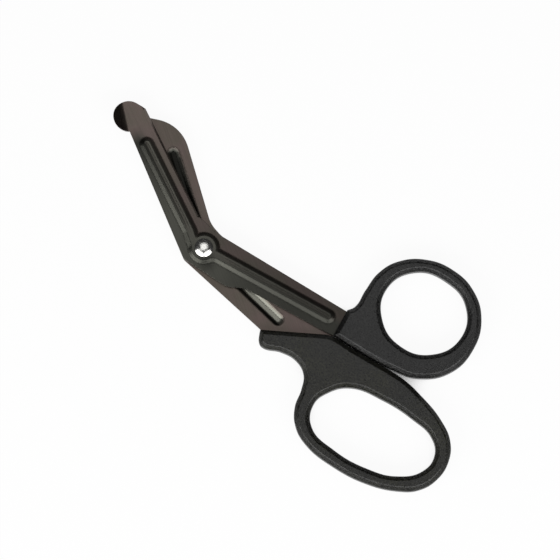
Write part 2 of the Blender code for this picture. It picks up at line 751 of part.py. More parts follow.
def assemble(item, collection, parent, material):
    """Put a finished piece in the shears, on the half that carries it."""
    collection.objects.link(item)
    item.parent = parent
    item.data.materials.append(material)
    shade_round(item)


def pivot_empty(name, collection):
    """Empty on the rivet's axis that one half of the shears turns with."""
    empty = bpy.data.objects.new(name, None)
    empty.empty_display_size = RIVET_HEAD_RADIUS
    collection.objects.link(empty)
    return empty


def main():
    """Build the shears, closed."""
    empty_scene()
    shears = new_collection("trauma_shears")
    cutters = new_collection("cutters")
    rear_half = pivot_empty("rear_half", shears)
    front_half = pivot_empty("front_half", shears)
    coating = coated_steel("coated_rear_blade_steel")
    assemble(make_rear_blade(cutters), shears, rear_half, coating)
    plastic = moulded_plastic("finger_loop_plastic")
    assemble(make_finger_handle(cutters), shears, rear_half, plastic)
    plate = plated_steel("plated_rivet_steel")
    assemble(make_rivet(), shears, rear_half, plate)
    coating = coated_steel("coated_front_blade_steel")
    assemble(make_front_blade(cutters), shears, front_half, coating)
    plastic = moulded_plastic("thumb_loop_plastic")
    assemble(make_thumb_handle(cutters), shears, front_half, plastic)


main()
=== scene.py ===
# %% [markdown]
# # Trauma shears
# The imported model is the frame: it gives the size, the place of every piece and the two halves
# that turn on the rivet. Its solids could be shown as they are, but they are faceted. So each
# piece below is a finer skin that stands in the place of its frame node. Lengths are in
# millimetres until a mesh is made, which is in metres, as Blender expects.

# %% Load the frame
import math

import bmesh
import bpy
import numpy as np
from mathutils import Matrix, Vector
from mathutils.geometry import delaunay_2d_cdt


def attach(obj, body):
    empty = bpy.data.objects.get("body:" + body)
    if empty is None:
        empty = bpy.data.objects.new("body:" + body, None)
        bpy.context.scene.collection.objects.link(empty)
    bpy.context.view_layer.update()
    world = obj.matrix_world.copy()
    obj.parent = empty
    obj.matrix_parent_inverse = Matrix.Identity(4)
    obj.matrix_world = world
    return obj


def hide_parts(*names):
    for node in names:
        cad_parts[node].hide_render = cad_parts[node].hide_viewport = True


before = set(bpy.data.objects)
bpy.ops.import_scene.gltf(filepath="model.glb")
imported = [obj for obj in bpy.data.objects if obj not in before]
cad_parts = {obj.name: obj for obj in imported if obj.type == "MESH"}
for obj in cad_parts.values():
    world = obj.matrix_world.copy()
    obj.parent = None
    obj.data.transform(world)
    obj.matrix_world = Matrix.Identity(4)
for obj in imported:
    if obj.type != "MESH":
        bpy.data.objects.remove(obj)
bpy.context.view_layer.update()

MM = 0.001
print("nodes:", sorted(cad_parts))

# %% [markdown]
# Both blades are drawn from the rivet, as their toolmaker would: a ray at some angle, a distance
# along it, and a distance across it to the left. That keeps a blade's numbers easy to read,
# however it is turned in the picture.

# %% Points of a plan
def on_arm(angle, along, across):
    """Plan point: along times the unit ray at the angle, plus across times the ray turned left."""
    turn = math.radians(angle)
    ray = np.array([math.cos(turn), math.sin(turn)])
    return ray * along + np.array([-ray[1], ray[0]]) * across


def arc(centre, radius, start, end, count):
    """Points of a circle: centre plus radius times (cos, sin) of evenly spaced directions."""
    turns = np.linspace(start, end, count)
    return np.asarray(centre) + radius * np.stack([np.cos(turns), np.sin(turns)], axis=1)


print("10 along and 2 across a ray at 90 degrees:", on_arm(90, 10, 2).round(3))

# %% [markdown]
# A stamped corner is never sharp, so each corner of a plan carries a radius. The arc that fills
# it has its centre on the line that halves the corner's angle, which makes it meet both edges
# without a kink.

# %% Rounded corners
def corner_arc(before, corner, after, radius, count=14):
    """Arc tangent to both edges of a corner, its centre on the line that halves the angle."""
    back = (before - corner) / np.linalg.norm(before - corner)
    ahead = (after - corner) / np.linalg.norm(after - corner)
    half = math.acos(np.clip(back @ ahead, -1, 1)) / 2
    middle = (back + ahead) / np.linalg.norm(back + ahead)
    centre = corner + middle * radius / math.sin(half)
    first = corner + back * radius / math.tan(half) - centre
    last = corner + ahead * radius / math.tan(half) - centre
    start = math.atan2(first[1], first[0])
    sweep = math.remainder(math.atan2(last[1], last[0]) - start, 2 * math.pi)
    return arc(centre, radius, start, start + sweep, count)


square_corner = corner_arc(np.array([0, 5.0]), np.zeros(2), np.array([5.0, 0]), 1.0)
print("arc in a square corner starts and ends at:", square_corner[[0, -1]].round(3).tolist())

# %% [markdown]
# An outline is all its corners joined up and then sampled at even steps. A Bezier curve object
# would do as well, but even steps in an array let us pick out any stretch of it later, just by
# naming the points near which it starts and ends.

# %% Outlines
def resample(line, count=None, step=None):
    """Same open line with evenly spaced points, found by interpolating over its length."""
    reach = np.concatenate([[0], np.cumsum(np.linalg.norm(np.diff(line, axis=0), axis=1))])
    count = count or max(2, math.ceil(reach[-1] / step) + 1)
    at = np.linspace(0, reach[-1], count)
    return np.stack([np.interp(at, reach, line[:, k]) for k in (0, 1)], axis=1)


def closed_outline(corners, step=0.04):
    """Closed plan line through (point, radius) corners, with its points one step apart."""
    line = []
    for i, (point, radius) in enumerate(corners):
        before, after = corners[i - 1][0], corners[(i + 1) % len(corners)][0]
        line.append(corner_arc(before, point, after, radius) if radius else point[None])
    return resample(np.concatenate([*line, line[0][:1]]), step=step)[:-1]


def walk(outline, start, end, way):
    """Stretch of a closed line from the point nearest start to the one nearest end."""
    first = np.argmin(np.linalg.norm(outline - start, axis=1))
    last = np.argmin(np.linalg.norm(outline - end, axis=1))
    steps = (last - first) * way % len(outline)
    return outline[(first + way * np.arange(steps + 1)) % len(outline)]


square = [np.array(corner, float) for corner in ((0, 0), (10, 0), (10, 10), (0, 10))]
print("points round a 10 mm square:", len(closed_outline([(corner, 1.0) for corner in square])))

# %% [markdown]
# A skin is a grid of points in two directions, here rows and columns. Its faces could be added
# one by one, but array arithmetic gives them all at once: each point is joined to its
# neighbours to the right and below.

# %% Faces of a grid
def grid_faces(rows, columns):
    """Quads of a grid that closes on itself across its columns."""
    r, c = np.meshgrid(np.arange(rows - 1), np.arange(columns), indexing="ij")
    near, far = r * columns, (r + 1) * columns
    following = (c + 1) % columns
    return np.stack([near + c, near + following, far + following, far + c], axis=-1).reshape(-1, 4)


print("faces of a 3 by 8 ring:", len(grid_faces(3, 8)))

# %% [markdown]
# Every skin is finished the same way. Seams and poles are welded, so the surface is closed. Its
# faces are turned outwards, and only its crisp creases stay sharp. Numbers that belong to the
# points, such as the distance from a cut edge, travel along as attributes for the material.

# %% From grid to mesh
WELD = 0.002


def finish_skin(name, points, faces, crease=32.0, tags=None):
    """Mesh object in metres from points in mm: welded, facing out, smooth but for its creases."""
    mesh = bpy.data.meshes.new(name)
    mesh.from_pydata((np.asarray(points).reshape(-1, 3) * MM).tolist(), [], [list(f) for f in faces])
    for tag, values in (tags or {}).items():
        attribute = mesh.attributes.new(tag, "FLOAT", "POINT")
        attribute.data.foreach_set("value", np.asarray(values, np.float32).ravel())
    shell = bmesh.new()
    shell.from_mesh(mesh)
    bmesh.ops.remove_doubles(shell, verts=shell.verts, dist=WELD * MM)
    bmesh.ops.dissolve_degenerate(shell, edges=shell.edges, dist=WELD / 2 * MM)
    bmesh.ops.recalc_face_normals(shell, faces=shell.faces)
    open_edges = sum(len(edge.link_faces) != 2 for edge in shell.edges)
    shell.to_mesh(mesh)
    shell.free()
    mesh.shade_smooth()
    mesh.set_sharp_from_angle(angle=math.radians(crease))
    piece = bpy.data.objects.new(name, mesh)
    bpy.context.scene.collection.objects.link(piece)
    print(name, "faces:", len(mesh.polygons), "open edges:", open_edges)
    return piece


print("meshes are welded at", WELD, "mm")

# %% [markdown]
# Each blade is one stamping of 1.6 mm sheet. A die presses a long rib into blade and tang and a
# round boss where the rivet sits, which makes thin sheet stiff. Seen from outside the rib stands
# proud, seen from inside it is a groove. Cutting it in with booleans and bevels would leave
# ragged corners, so here it is a height above the flat sheet. Its section is drawn with straight
# flanks and then averaged with a bell curve, because a die has no sharp corners either.

# %% Pressed sections
SHEET = 1.6
OUTER_RIB = ((0, 0.62), (0.85, 0.93), (1.3, 0.82), (2.85, 0.02), (3.05, 0), (9, 0))
INNER_RIB = ((0, 0.74), (0.5, 0.9), (0.95, 0.76), (2.45, 0.02), (2.65, 0), (9, 0))
OUTER_BOSS = ((0, 0.9), (4.75, 0.9), (6.05, 0.02), (6.2, 0), (9, 0))
INNER_BOSS = ((0, 0.9), (4.25, 0.9), (5.55, 0.02), (5.7, 0), (9, 0))
DIE_RADIUS = {"outer": 0.3, "inner": 0.28}
SECTION_HALF, BELL_HALF, SAMPLE = 9, 1.2, 0.02


def soft_section(levels, blur):
    """Straight-sided section, averaged with a bell curve as wide as the die's own roundings."""
    distance = np.arange(-SECTION_HALF, SECTION_HALF, SAMPLE)
    height = np.interp(np.abs(distance), *np.array(levels).T)
    bell = np.exp(-0.5 * (np.arange(-BELL_HALF, BELL_HALF + SAMPLE / 2, SAMPLE) / blur) ** 2)
    height = np.convolve(height, bell / bell.sum(), mode="same")
    keep = distance >= 0
    return distance[keep], height[keep]


SECTIONS = {
    ("rib", "outer"): soft_section(OUTER_RIB, DIE_RADIUS["outer"]),
    ("rib", "inner"): soft_section(INNER_RIB, DIE_RADIUS["inner"]),
    ("boss", "outer"): soft_section(OUTER_BOSS, DIE_RADIUS["outer"]),
    ("boss", "inner"): soft_section(INNER_BOSS, DIE_RADIUS["inner"]),
}

print("rib height in mm:", round(float(SECTIONS["rib", "outer"][1].max()), 2))

# %% [markdown]
# The height of a pressed face depends on distance alone: how far a point is from the rib's centre
# line or from the rivet. A Displace modifier with an image could do this too, but only as finely
# as its pixels. The rib has a shallow flute down its crest, which fades out towards the boss.
# Where rib and boss meet, the higher one wins.

# %% Height of a pressed face
FLUTE_STARTS, FLUTE_FULL = 6.0, 12.0


def segment_distance(points, start, end):
    """Distance to a straight stretch: the foot of the perpendicular, held between both ends."""
    run = end - start
    share = np.clip((points - start) @ run / (run @ run), 0, 1)
    return np.linalg.norm(points - start - share[..., None] * run, axis=-1)


def pressed(points, path, face):
    """Height over the flat margin: the section at the distance from the rib's line or the rivet."""
    away = np.linalg.norm(points, axis=-1)
    off = np.min([segment_distance(points, a, b) for a, b in zip(path, path[1:])], axis=0)
    distance, height = SECTIONS["rib", face]
    fluted = np.interp(off, distance, height)
    level = np.interp(np.maximum(off, distance[np.argmax(height)]), distance, height)
    share = np.clip((away - FLUTE_STARTS) / (FLUTE_FULL - FLUTE_STARTS), 0, 1)
    boss = np.interp(away, *SECTIONS["boss", face])
    return np.maximum(level + (fluted - level) * share, boss)


test_rib = [np.zeros(2), np.array([40.0, 0.0])]
test_points = np.array([[20.0, y] for y in range(4)])
print("heights across the rib:", pressed(test_points, test_rib, "outer").round(2))

# %% [markdown]
# A blade's plan has two long sides that run from its tip, past the rivet and down the tang. Pairs
# of stations on both sides are joined by straight rows, so one grid covers the whole blank.
# Filling the outline with triangles would be quicker, but a pressed form looks smooth only on an
# even grid. The points of a row crowd together near the sides, where the cut edge is broken by a
# small radius.

# %% Grid of a blank
EDGE_BREAK, BREAK_SHARE = 0.14, 0.1
GRIND, GRIND_SHARE = 0.8, 0.3
POINTS_ACROSS, NARROWEST = 72, 1e-6


def side_stations(outline, keys, way, counts):
    """One long side of the blank, with a set count of stations between each pair of keys."""
    stretches = [walk(outline, a, b, way) for a, b in zip(keys, keys[1:])]
    parts = [resample(s, count + 1)[:-1] for s, count in zip(stretches, counts)]
    return np.concatenate([*parts, stretches[-1][-1:]])


def row_shares(width):
    """Shares across a row: four round the edge break, two up to the grind, then even ones."""
    width = np.maximum(width, NARROWEST)
    brk = np.minimum(EDGE_BREAK / width, BREAK_SHARE)[:, None]
    grind = np.minimum(GRIND / width, GRIND_SHARE)[:, None]
    turns = np.radians([0, 30, 60, 90])
    rim = brk * (1 - np.cos(turns))
    margin = brk + (grind - brk) * np.array([0.33, 0.66])
    half = np.concatenate([rim, margin], axis=1)
    inside = grind + (1 - 2 * grind) * np.linspace(0, 1, POINTS_ACROSS)
    return np.concatenate([half, inside, 1 - half[:, ::-1]], axis=1)


def blank(outline, keys_a, keys_b, spacing=0.34):
    """Plan grid between both long sides, and each point's distance from its nearer side."""
    lengths = []
    for keys, way in ((keys_a, -1), (keys_b, 1)):
        pieces = [walk(outline, a, b, way) for a, b in zip(keys, keys[1:])]
        lengths.append([np.linalg.norm(np.diff(p, axis=0), axis=1).sum() for p in pieces])
    counts = [max(1, math.ceil(max(pair) / spacing)) for pair in zip(*lengths)]
    side_a = side_stations(outline, keys_a, -1, counts)
    side_b = side_stations(outline, keys_b, 1, counts)
    width = np.linalg.norm(side_b - side_a, axis=1)
    share = row_shares(width)
    plan = side_a[:, None] + (side_b - side_a)[:, None] * share[..., None]
    inset = np.minimum(share, 1 - share) * width[:, None]
    return plan, inset


print("points across 16 mm of sheet:", row_shares(np.array([16.0])).shape[1])

# %% [markdown]
# The cutting edge is ground on the outside: within 0.8 mm of it the sheet loses most of its
# thickness, down to a flat land of 0.5 mm. Every other edge only has its burr taken off, which
# is a quarter circle of 0.14 mm. For a Bevel modifier each edge would have to be marked by hand, so
# both are formulas of the distance from the edge.

# %% Edges
LAND = 0.5
PAST_TIP, RUN_OUT = 2.0, 1.2


def edge_drop(inset):
    """How far the broken edge falls: a quarter circle over the last part of the margin."""
    near = np.clip(EDGE_BREAK - inset, 0, EDGE_BREAK)
    return EDGE_BREAK - np.sqrt(EDGE_BREAK ** 2 - near ** 2)


def ground(plan, heel, tip):
    """Share of the grind's depth that is taken off: full at the cutting edge, none behind it."""
    length = np.linalg.norm(tip - heel)
    run = (tip - heel) / length
    along = (plan - heel) @ run
    off = np.abs((plan - heel) @ np.array([-run[1], run[0]]))
    ends = np.clip(np.minimum(along, length + PAST_TIP - along) / RUN_OUT, 0, 1)
    return np.clip(1 - off / GRIND, 0, 1) * ends


print("the broken edge falls", edge_drop(np.array([0.0])), "mm at its rim")

# %% [markdown]
# The skin of a blade goes over the upper face, round one side and back under the lower face, as one
# closed grid. A Solidify modifier would give the sheet its thickness too, but no edge that is ground
# on one face only. The upper face brings its painted light and shade and its cast for the material,
# the lower one is even.

# %% Skin of a blade
UNDER_TONE = 0.8


def sheet_skin(name, plan, inset, upper, lower, tone_and_painted_light, cool):
    """Closed skin: over the upper face, round one side, back under the lower face."""
    upper = upper - edge_drop(inset)
    lower = lower + edge_drop(inset)
    over = np.concatenate([plan, upper[..., None]], axis=-1)
    under = np.concatenate([plan, lower[..., None]], axis=-1)[:, ::-1]
    section = np.concatenate([over, under], axis=1)
    close = section[-1].copy()
    close[:, 2] = np.mean([upper[-1], lower[-1]])
    points = np.concatenate([section, close[None]])
    even = np.ones_like(inset)
    # The tone tag carries painted light and shade from the upper face.
    tags = {"from_edge": (inset, inset), "tone_and_painted_light": (tone_and_painted_light, even * UNDER_TONE), "cool": (cool, even * 0)}
    for tag, (above, below) in tags.items():
        both = np.concatenate([above, below[:, ::-1]], axis=1)
        tags[tag] = np.concatenate([both, both[-1:]])
    faces = grid_faces(*points.shape[:2])
    return finish_skin(name, points, faces, tags=tags)


print("lightness of a lower face:", UNDER_TONE)

# %% [markdown]
# The front blade lies on top. Its measures are read along two rays, one down the blade and one
# down the tang, which meet at the rivet. Behind the shoulder a narrow tongue goes on into the
# handle, which is moulded over it.

# %% Measures of the front blade
FRONT_LEVEL = 6.25
BLADE, TANG = 149.5, 5.8
EDGE_END = np.array([58.2, -1.9])
HEEL, TIP = on_arm(BLADE, 11.6, -3.4), on_arm(BLADE, *EDGE_END)
FOOT_CENTRE, FOOT_RADIUS = np.array([58.1, 5.2]), 5.87
FOOT_BEND = (-12.3, 1.2, 34.0)
SPINE_AT_FOOT, SPINE_ROOT = 7.3, on_arm(BLADE, -0.4, 8.8)
BELLY, BELLY_END = on_arm(TANG, 14.7, -8.8), on_arm(TANG, 21.3, -5.8)
ABOVE_BELLY = on_arm(TANG, 21.3, 6.2)
NOTCH = on_arm(TANG, 2.1, 7.4)
TANG_HALF, TONGUE_HALF, SHOULDER, TONGUE_END = 5.4, 3.0, 59.7, 76.0
STEP = 0.03
# The rib swings out round the rivet, so that its outer flank runs on past the boss.
FRONT_RIB = [
    on_arm(BLADE, 45.4, 3.3), on_arm(BLADE, 8.5, 2.1), np.array([-1.8, -2.4]), np.array([0.0, -3.0]),
    on_arm(TANG, 5.7, 0.0), on_arm(TANG, 54.2, 0.3),
]
print("tip and heel in mm:", TIP.round(1), HEEL.round(1))

# %% [markdown]
# The front blade ends in a blunt foot, so it can slide under a bandage without digging in. It is
# a round lobe of the same sheet, bent outwards along a slanted line. A Simple Deform modifier bends
# along one of the object's own axes, so here the height beyond that line is a formula. The bend is
# a parabola that runs on into a straight slope, so the sheet starts to rise without a crease.

# %% Bent foot
def foot_notch():
    """Where the foot's circle meets the spine."""
    drop = SPINE_AT_FOOT - FOOT_CENTRE[1]
    return np.array([FOOT_CENTRE[0] - math.sqrt(FOOT_RADIUS ** 2 - drop ** 2), SPINE_AT_FOOT])


def foot_line():
    """Round edge of the foot, from the end of the cutting edge round to the notch."""
    towards = EDGE_END - FOOT_CENTRE
    start = math.atan2(towards[1], towards[0])
    start += math.acos(FOOT_RADIUS / np.linalg.norm(towards))
    notch = foot_notch() - FOOT_CENTRE
    lobe = arc(FOOT_CENTRE, FOOT_RADIUS, start, math.atan2(notch[1], notch[0]), 60)
    return np.array([on_arm(BLADE, *point) for point in lobe])


def foot_rise(plan):
    """Height and slope of the bent foot: a short parabola after the bend line, then straight."""
    turn, length, angle = FOOT_BEND
    origin = on_arm(BLADE, *foot_notch())
    beyond = (plan - origin) @ on_arm(BLADE + turn, 0, 1)
    near_foot = (plan - origin) @ on_arm(BLADE, 1, 0) > -FOOT_RADIUS / 2
    beyond = np.where(near_foot, np.maximum(beyond, 0), 0)
    steep = math.tan(math.radians(angle))
    bend = np.minimum(beyond, length)
    rise = steep * (bend ** 2 / (2 * length) + (beyond - bend))
    return rise, steep * bend / length


print("the foot's rim rises", foot_rise(on_arm(BLADE, 63.9, 5.2)[None])[0].round(2), "mm")

# %% [markdown]
# The coating's lightness carries painted light and shade. One side of the rib is painted darker than
# the other, as the lamps light it. The flute has a painted shade line, a patch beside the boss is
# painted darker to damp a highlight, and the sheet is painted lighter towards the foot. A few stations
# along the shears give that lightness, once for each side of the rib. It could be painted in an image,
# but numbers on the mesh's own points need no picture and follow each form exactly. The second number
# is the cast, from brown on the flats to a cooler grey on the pressed forms.

# %% Painted light and shade of the front blade
STATIONS = [-45, -24, -12, 14, 34, 45, 51]
UPPER_SIDE_PAINTED_LIGHT = [0.37, 0.48, 0.5, 0.62, 0.72, 0.8, 0.9]
LOWER_SIDE_PAINTED_LIGHT = [0.24, 0.3, 0.44, 0.47, 0.34, 0.21, 0.9]
RIB_KNEE, SIDE_HALF = np.array([-3.1, -0.4]), 1.5
FLUTE_OFFSET, FLUTE_HALF = 0.8, 0.5
FLUTE_STATIONS, FLUTE_PAINTED_SHADE = [5, 14, 44, 46], [0, 0.42, 0.62, 0]
SHADE_PATCH, SHADE_PATCH_RADIUS, SHADE_PATCH_DARK = np.array([4.2, -3.9]), 3.0, 0.5
TIP_STARTS, TIP_FADE, COOL_MOST = 44, 6, 1.1
FOOT_PAINTED_SHADE = 0.6


def front_painted_light(plan):
    """Painted light and shade by place along the shears and side of the rib, less painted shade in the
    flute and beside the boss.
    """
    along = [(plan - RIB_KNEE) @ on_arm(angle, 1, 0) for angle in (BLADE, TANG)]
    across = []
    for end, way in ((FRONT_RIB[0], -1), (FRONT_RIB[-1], 1)):
        run = (end - RIB_KNEE) / np.linalg.norm(end - RIB_KNEE)
        across.append(way * ((plan - RIB_KNEE) @ np.array([-run[1], run[0]])))
    on_blade = along[0] > along[1]
    place = np.where(on_blade, np.maximum(along[0], 0), -np.maximum(along[1], 0))
    offset = np.where(on_blade, across[0], across[1])
    # Painted light and shade by side of the rib, painted shade in the flute and in a patch beside the
    # boss.
    upper = np.interp(place, STATIONS, UPPER_SIDE_PAINTED_LIGHT)
    lower = np.interp(place, STATIONS, LOWER_SIDE_PAINTED_LIGHT)
    share = np.clip((offset + SIDE_HALF) / (2 * SIDE_HALF), 0, 1)
    flute_shade = np.exp(-(((offset + FLUTE_OFFSET) / FLUTE_HALF) ** 2))
    flute_shade = flute_shade * np.interp(place, FLUTE_STATIONS, FLUTE_PAINTED_SHADE)
    shade_patch = SHADE_PATCH_DARK * np.exp(-np.sum((plan - SHADE_PATCH) ** 2, axis=-1) / SHADE_PATCH_RADIUS ** 2)
    tip = np.clip((place - TIP_STARTS) / TIP_FADE, 0, 1)
    tone_and_painted_light = (lower + (upper - lower) * share) * (1 - flute_shade) * (1 - shade_patch)
    return tone_and_painted_light, (1 - tip) * np.clip(COOL_MOST - share, 0, 1)


print("lightness at the foot and on the tang:", UPPER_SIDE_PAINTED_LIGHT[-1], UPPER_SIDE_PAINTED_LIGHT[0])

# %% [markdown]
# Now the front blade can be put together. Its upper face follows the rib's outer section and its
# lower face the inner one, so the sheet keeps its thickness over the rib, as pressed steel does.
# Where the foot rises, the gap between both faces grows with the slope for the same reason.

# %% Front blade
def front_blade():
    """Pressed sheet: the outer face on the rib's outer section, the inner on its inner one."""
    tongue = [(SHOULDER, TANG_HALF), (SHOULDER + STEP, TONGUE_HALF), (TONGUE_END, TONGUE_HALF)]
    low = [on_arm(TANG, along, -across) for along, across in tongue]
    high = [on_arm(TANG, along, across) for along, across in tongue]
    corners = [(HEEL, 0.8), (TIP, 0.5)] + [(point, 0) for point in foot_line()]
    corners += [(SPINE_ROOT, 3.5), (BELLY, 8.0), (BELLY_END, 6.0)]
    corners += [(point, 0) for point in low + high[::-1]] + [(NOTCH, 3.0)]
    outline = closed_outline(corners)
    toe = on_arm(BLADE, FOOT_CENTRE[0] + FOOT_RADIUS, FOOT_CENTRE[1])
    spine = [toe, on_arm(BLADE, *foot_notch()), SPINE_ROOT, BELLY_END, *low]
    edge = [toe, on_arm(BLADE, foot_notch()[0], EDGE_END[1]), NOTCH, ABOVE_BELLY, *high]
    plan, inset = blank(outline, edge, spine)
    rise, slope = foot_rise(plan)
    upper = FRONT_LEVEL + pressed(plan, FRONT_RIB, "outer") + rise
    lower = FRONT_LEVEL + pressed(plan, FRONT_RIB, "inner") + rise - SHEET * np.hypot(1, slope)
    upper = upper - (SHEET - LAND) * ground(plan, HEEL, TIP)
    # Lightness with painted light and shade; the bent foot gets painted shade, darker as it rises.
    tone_and_painted_light, cool = front_painted_light(plan)
    tone_and_painted_light = tone_and_painted_light * (1 - FOOT_PAINTED_SHADE * np.clip(rise, 0, 1))
    cool = np.maximum(cool, pressed(plan, FRONT_RIB, "outer"))
    return sheet_skin("front_blade_skin", plan, inset, upper, lower, tone_and_painted_light, cool)


front = front_blade()

# %% [markdown]
# The rear blade is pressed the other way, so from above it shows its flat inner side with the
# groove of the rib. Its nose is round and wide, and its edge lies under the front blade's. Its
# shoulders follow the slanted mouth of the finger loop.

# %% Measures of the rear blade
REAR_LEVEL = 2.75
REAR_BLADE, REAR_TANG = 145.0, -8.0
REAR_HEEL, REAR_TIP = on_arm(REAR_BLADE, 12.5, 4.0), on_arm(REAR_BLADE, 55.9, 4.8)
NOSE, REAR_ROOT = on_arm(REAR_BLADE, 47.8, -8.2), on_arm(REAR_BLADE, 8.0, -5.7)
REAR_CORNER, REAR_NOTCH = on_arm(REAR_TANG, -3.5, -8.4), on_arm(REAR_TANG, 0.5, 8.2)
BEHIND_TIP, BEHIND_NOSE = on_arm(REAR_BLADE, 42, 4.7), on_arm(REAR_BLADE, 42, -7.7)
BEFORE_ROOT = on_arm(REAR_BLADE, 12, -5.9)
TANG_LOW, TANG_HIGH, MOUTH_LOW, MOUTH_HIGH = -8.0, 8.9, 37.4, 58.5
REAR_TONGUE_HALF, REAR_TONGUE_END = 4.0, 66.0
# The shoulders reach a little way into the moulding, so that no light shows through the joint.
SEATED = 0.25
REAR_RIB = [on_arm(REAR_BLADE, 38.4, -1.5), np.zeros(2), on_arm(REAR_TANG, 39.3, -0.6)]


def mouth_point(across, further=0.0):
    """Point of the slanted mouth line at a distance across the tang, or further past that line."""
    slope = (MOUTH_HIGH - MOUTH_LOW) / (TANG_HIGH - TANG_LOW)
    along = MOUTH_LOW + slope * (across - TANG_LOW) + further * math.hypot(slope, 1)
    return on_arm(REAR_TANG, along, across)


print("mouth of the finger loop:", mouth_point(TANG_LOW).round(1), mouth_point(TANG_HIGH).round(1))

# %% [markdown]
# It is made like the front blade, but turned over: the outer section points down. On the blade the
# groove is painted darker, as painted shade where the front blade shades it. On the tang only the
# groove's lower wall gets painted shade, and the rest of the groove gets a painted highlight.

# %% Rear blade
REAR_TONE = 0.79
BED_DEPTH, WALL_DEPTH, LOWER_WALL_DEPTH = 0.8, 0.3, 0.2
WALL_END, WALL_FADE = 37.5, 1.5
LOWER_WALL_START, LOWER_WALL_FADE = 0.8, 0.5
BED_PAINTED_SHADE, WALL_PAINTED_SHADE, LOWER_WALL_PAINTED_SHADE, BED_PAINTED_HIGHLIGHT = 0.9, 0.8, 0.85, 0.9


def groove_painted_light(plan, groove):
    """Share of lightness lost to painted shade: on the blade the groove is shaded, on the tang only
    its lower wall, and the rest gains a painted highlight.
    """
    run = REAR_RIB[2] / np.linalg.norm(REAR_RIB[2])
    offset = plan @ np.array([-run[1], run[0]])
    bed = np.clip(groove / BED_DEPTH, 0, 1)
    low_side = np.clip((-LOWER_WALL_START - offset) / LOWER_WALL_FADE, 0, 1)
    lower_wall = np.clip(groove / LOWER_WALL_DEPTH, 0, 1) * low_side
    along = plan @ on_arm(REAR_BLADE, 1, 0)
    before_end = np.clip((WALL_END - along) / WALL_FADE, 0, 1)
    wall = WALL_PAINTED_SHADE * np.clip(groove / WALL_DEPTH, 0, 1) * before_end
    on_tang = LOWER_WALL_PAINTED_SHADE * lower_wall - BED_PAINTED_HIGHLIGHT * bed * (1 - lower_wall)
    return np.where(along > 0, np.maximum(BED_PAINTED_SHADE * bed, wall), on_tang)


def rear_blade():
    """Pressed sheet, turned over: the groove's inner section is on top."""
    low = [mouth_point(TANG_LOW, SEATED), mouth_point(-REAR_TONGUE_HALF, SEATED + STEP)]
    high = [mouth_point(TANG_HIGH, SEATED), mouth_point(REAR_TONGUE_HALF, SEATED + STEP)]
    low.append(on_arm(REAR_TANG, REAR_TONGUE_END, -REAR_TONGUE_HALF))
    high.append(on_arm(REAR_TANG, REAR_TONGUE_END, REAR_TONGUE_HALF))
    corners = [(REAR_HEEL, 2.0), (REAR_CORNER, 3.5)] + [(point, 0) for point in low + high[::-1]]
    corners += [(REAR_NOTCH, 6.0), (REAR_ROOT, 12.0), (NOSE, 15.0), (REAR_TIP, 1.2)]
    outline = closed_outline(corners)
    edge = [REAR_TIP, BEHIND_TIP, REAR_HEEL, REAR_CORNER, *low]
    spine = [REAR_TIP, BEHIND_NOSE, BEFORE_ROOT, REAR_NOTCH, *high]
    plan, inset = blank(outline, spine, edge)
    groove = pressed(plan, REAR_RIB, "inner")
    upper = REAR_LEVEL - groove + SHEET
    lower = REAR_LEVEL - pressed(plan, REAR_RIB, "outer")
    lower = lower + (SHEET - LAND) * ground(plan, REAR_HEEL, REAR_TIP)
    # The groove's painted shade and painted highlight go into the lightness.
    tone_and_painted_light = REAR_TONE * (1 - groove_painted_light(plan, groove))
    return sheet_skin("rear_blade_skin", plan, inset, upper, lower, tone_and_painted_light, np.clip(2 * groove, 0, 1))


rear = rear_blade()

# %% [markdown]
# The loops are injection mouldings. Their outlines run through a few knots, with smooth handles
# between them, as in a drawing program. Each handle lies along the sum of both unit chords, so
# the curve passes each knot without a kink. Only the corners of the mouth stay sharp.

# %% Smooth outlines
HANDLE_PART, UNEVEN = 2.5614, 5


def smooth_handles(knots, corner):
    """Handles along the sum of both unit chords, as long as a chord over the handle's part."""
    back, ahead = knots - np.roll(knots, 1, axis=0), np.roll(knots, -1, axis=0) - knots
    len_back = np.linalg.norm(back, axis=1, keepdims=True)
    len_ahead = np.linalg.norm(ahead, axis=1, keepdims=True)
    tangent = back / len_back + ahead / len_ahead
    scale = HANDLE_PART * np.linalg.norm(tangent, axis=1, keepdims=True)
    left = knots - tangent * np.minimum(len_back, UNEVEN * len_ahead) / scale
    right = knots + tangent * np.minimum(len_ahead, UNEVEN * len_back) / scale
    left[corner], right[corner] = (knots - back / 3)[corner], (knots + ahead / 3)[corner]
    return left, right


def smooth_loop(knots, corners=0, steps=20):
    """Closed cubic curve through the knots; the first few knots may be sharp corners."""
    knots = np.array(knots, float)
    left, right = smooth_handles(knots, np.arange(len(knots)) < corners)
    t = np.linspace(0, 1, steps, endpoint=False)[:, None, None]
    following, arriving = np.roll(knots, -1, axis=0), np.roll(left, -1, axis=0)
    line = (1 - t) ** 3 * knots + 3 * (1 - t) ** 2 * t * right
    line = line + 3 * (1 - t) * t ** 2 * arriving + t ** 3 * following
    return line.transpose(1, 0, 2).reshape(-1, 2)


test_loop = smooth_loop([(10, 0), (0, 10), (-10, 0), (0, -10)])
widest = np.linalg.norm(test_loop, axis=1).max()
print("a loop through 4 knots at 10 mm swings out to:", widest.round(2))

# %% [markdown]
# To round the rims, the outline is moved inwards step by step. A Bevel modifier could round them
# too, but on faces filled with triangles it leaves a rough rim. At a tight corner the moved line
# would cross itself, as lines do on the inside of a bend. Such points are found by their distance
# to the outline, and they are put between their free neighbours.

# %% Moving a line inwards
ROUNDING = 0.001


